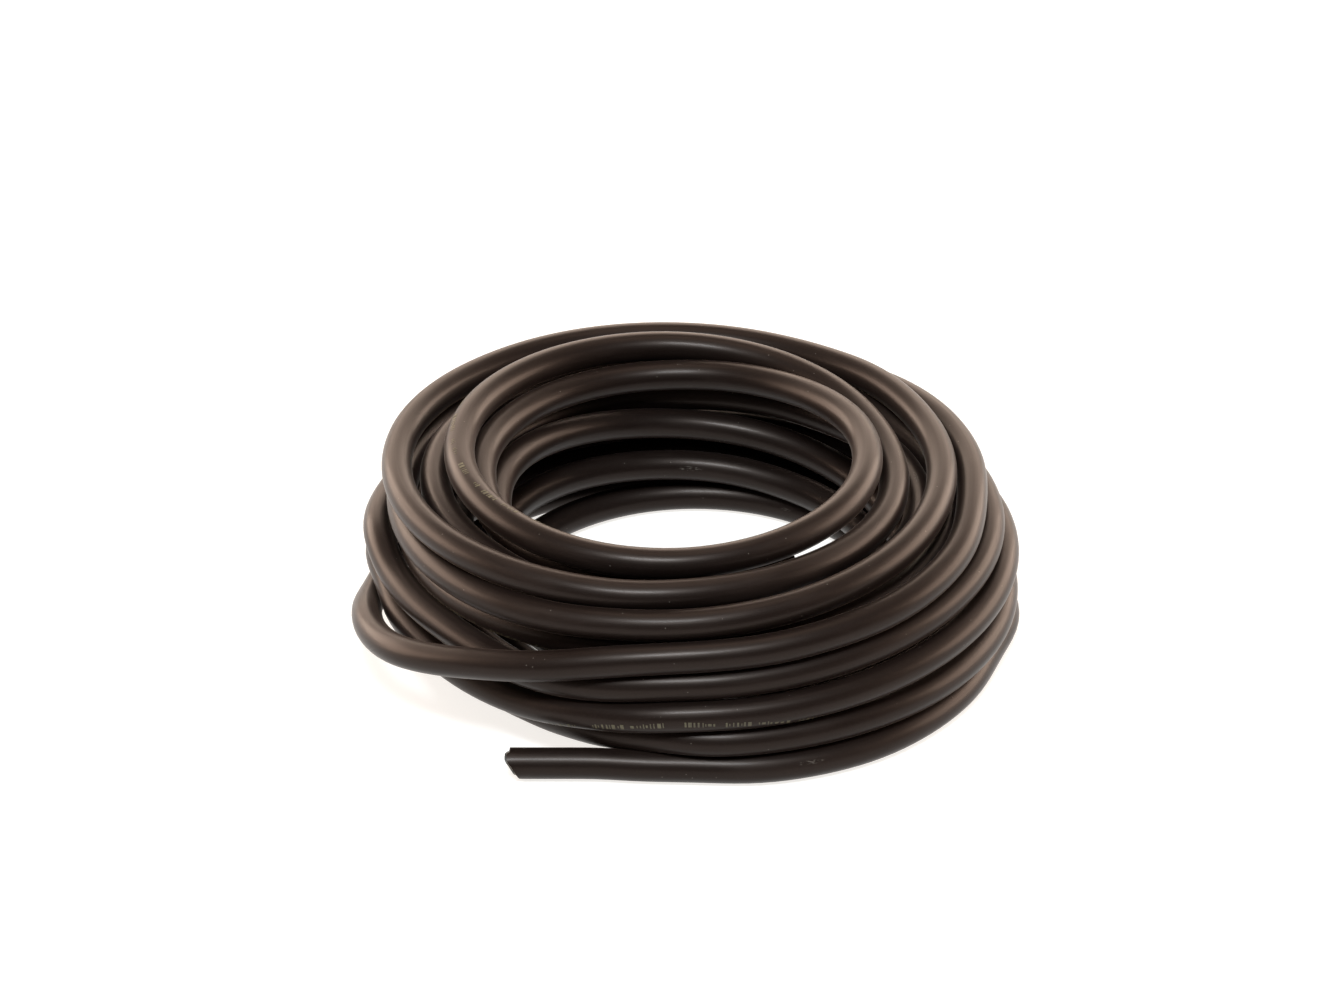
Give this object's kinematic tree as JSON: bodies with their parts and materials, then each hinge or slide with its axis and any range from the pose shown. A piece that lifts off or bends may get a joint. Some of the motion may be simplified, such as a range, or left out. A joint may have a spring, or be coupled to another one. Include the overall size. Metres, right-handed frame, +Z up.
{
  "type": "coiled rubber hose",
  "caption": "Long black rubber hose wound by hand into a free-standing coil, with an open eye and one roughly cut end lying straight along the floor.",
  "frame": {"origin": "centre of the coil's footprint, on the floor that it stands on", "axes": "+Z up out of the floor; -X is the way the cut end points; -Y is the side that the cut end lies on"},
  "size_m": [0.349, 0.338, 0.104],
  "materials": {
    "cover_rubber": "satin, warm black, faintly scuffed and dusty",
    "braid_yarn": "matt off-white textile yarn, dusted with rubber",
    "liner_rubber": "smooth matt black",
    "lay_line_ink": "thin faded olive yellow ink"
  },
  "bodies": {
    "root": {"lower_turns": "cover_rubber", "upper_turns": "cover_rubber", "top_turns": "cover_rubber", "loose_turn": "cover_rubber", "tail_run": "cover_rubber", "end_cover": "cover_rubber", "end_braid": "braid_yarn", "end_liner": "liner_rubber"}
  },
  "joints": []
}
